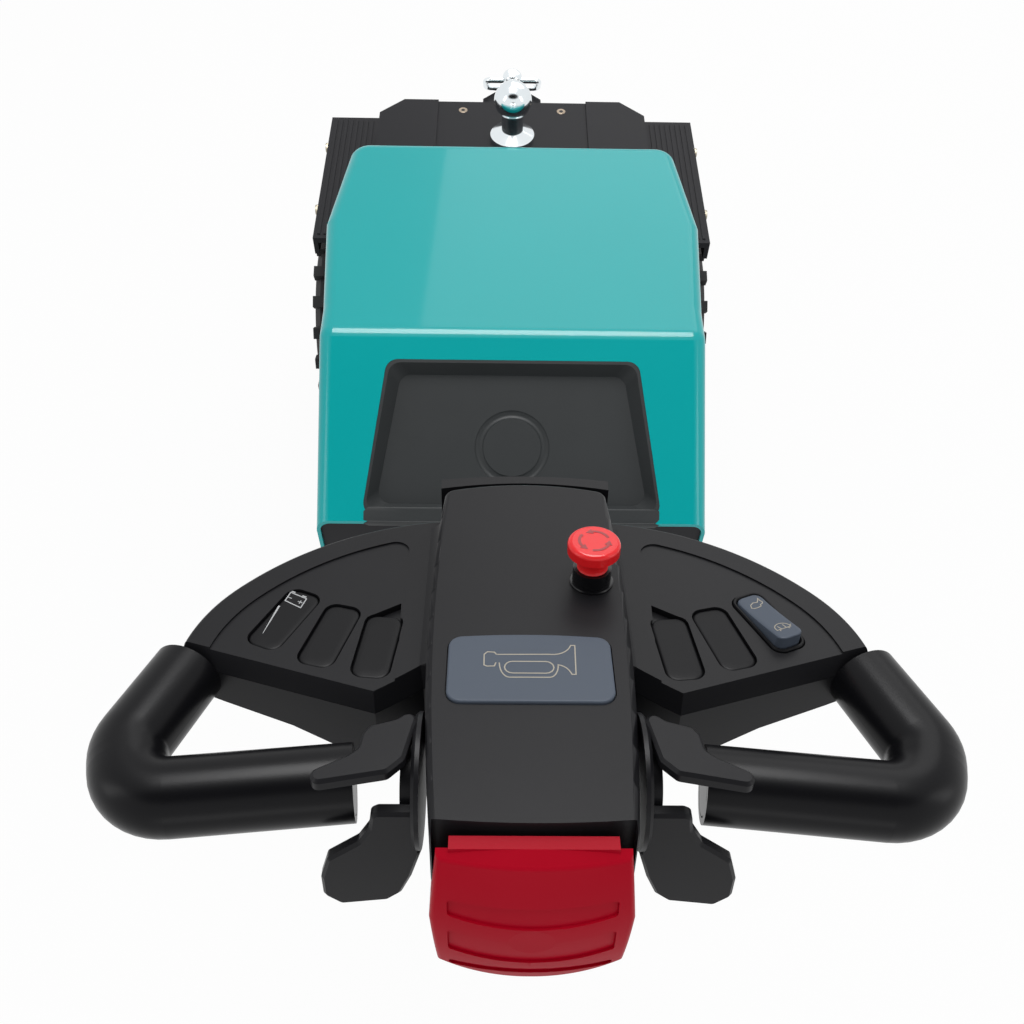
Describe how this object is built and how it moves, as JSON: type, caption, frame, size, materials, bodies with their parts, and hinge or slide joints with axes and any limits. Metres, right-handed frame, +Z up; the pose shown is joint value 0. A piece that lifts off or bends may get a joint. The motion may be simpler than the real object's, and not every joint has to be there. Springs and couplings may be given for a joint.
{
  "type": "electric tow tractor",
  "caption": "Walk-behind electric tow tractor: hooded chassis on driven wheels and castors, tilting tiller head, tow ball and drop-pin coupling.",
  "frame": {"origin": "on the floor, under the middle of the whole length and width", "axes": "+Y from the operator towards the hitch, +X to the operator's right, +Z up"},
  "size_m": [0.54, 1.3019, 0.8576],
  "materials": {
    "teal_paint": "gloss",
    "black_powder_coat": "satin",
    "chassis_paint": "satin",
    "ribbed_cover": "matte",
    "zinc_plate": "polished",
    "tyre_rubber": "matte",
    "castor_tread": "matte",
    "rim_paint": "satin",
    "cast_axle": "satin",
    "motor_steel": "satin",
    "battery_plastic": "matte",
    "tray_plastic": "matte",
    "head_plastic": "satin",
    "grip_plastic": "satin",
    "horn_blue": "satin",
    "stop_red": "gloss",
    "belly_red": "satin",
    "stop_black": "gloss",
    "zinc_steel": "satin"
  },
  "bodies": {
    "chassis": {"battery_block": "battery_plastic", "castor_mount_left": "zinc_steel", "castor_mount_right": "zinc_steel", "coupling_jaw": "black_powder_coat", "drive_motor": "motor_steel", "fender_left": "ribbed_cover", "fender_right": "ribbed_cover", "frame_pan": "chassis_paint", "hitch_deck": "black_powder_coat", "hood": "teal_paint", "nose_panel": "black_powder_coat", "rear_frame": "chassis_paint", "storage_tray": "tray_plastic", "tiller_bracket": "chassis_paint", "tiller_pin": "zinc_steel", "tow_ball": "zinc_plate", "transaxle": "cast_axle"},
    "wheel_right": {"rim_right": "rim_paint", "tyre_right": "tyre_rubber"},
    "wheel_left": {"rim_left": "rim_paint", "tyre_left": "tyre_rubber"},
    "castor_right": {"castor_fork_right": "zinc_steel", "castor_axle_right": "zinc_steel"},
    "castor_left": {"castor_fork_left": "zinc_steel", "castor_axle_left": "zinc_steel"},
    "castor_roll_right": {"castor_wheel_right": "castor_tread"},
    "castor_roll_left": {"castor_wheel_left": "castor_tread"},
    "drop_pin": {"hitch_pin": "zinc_plate", "pin_handle": "zinc_plate"},
    "tiller": {"tiller_arm": "black_powder_coat", "head_housing": "head_plastic", "head_lid": "head_plastic", "grip_left": "grip_plastic", "grip_right": "grip_plastic", "horn_button": "horn_blue", "stop_collar": "stop_black", "stop_knob": "stop_red", "paddle_left": "head_plastic", "paddle_right": "head_plastic", "belly_button": "belly_red", "gauge_window": "head_plastic", "rocker_switch": "horn_blue", "switch_blanks": "head_plastic"}
  },
  "joints": [
    {"name": "wheel_right_spin", "type": "hinge", "parent": "chassis", "child": "wheel_right", "pos_m": [0.24, 0.407, 0.152], "axis": [1, 0, 0], "continuous": true},
    {"name": "castor_right_swivel", "type": "hinge", "parent": "chassis", "child": "castor_right", "pos_m": [0.13, -0.035, 0.12], "axis": [0, 0, 1], "continuous": true},
    {"name": "castor_right_spin", "type": "hinge", "parent": "castor_right", "child": "castor_roll_right", "pos_m": [0.13, -0.001, 0.05], "axis": [1, 0, 0], "continuous": true},
    {"name": "wheel_left_spin", "type": "hinge", "parent": "chassis", "child": "wheel_left", "pos_m": [-0.24, 0.407, 0.152], "axis": [1, 0, 0], "continuous": true},
    {"name": "castor_left_swivel", "type": "hinge", "parent": "chassis", "child": "castor_left", "pos_m": [-0.13, -0.035, 0.12], "axis": [0, 0, 1], "continuous": true},
    {"name": "castor_left_spin", "type": "hinge", "parent": "castor_left", "child": "castor_roll_left", "pos_m": [-0.13, -0.001, 0.05], "axis": [1, 0, 0], "continuous": true},
    {"name": "tiller_tilt", "type": "hinge", "parent": "chassis", "child": "tiller", "pos_m": [0, -0.135, 0.2], "axis": [1, 0, 0], "range_deg": [-18, 35]},
    {"name": "pin_lift", "type": "slide", "parent": "chassis", "child": "drop_pin", "axis": [0, 0, 1], "range_m": [0, 0.07]}
  ]
}
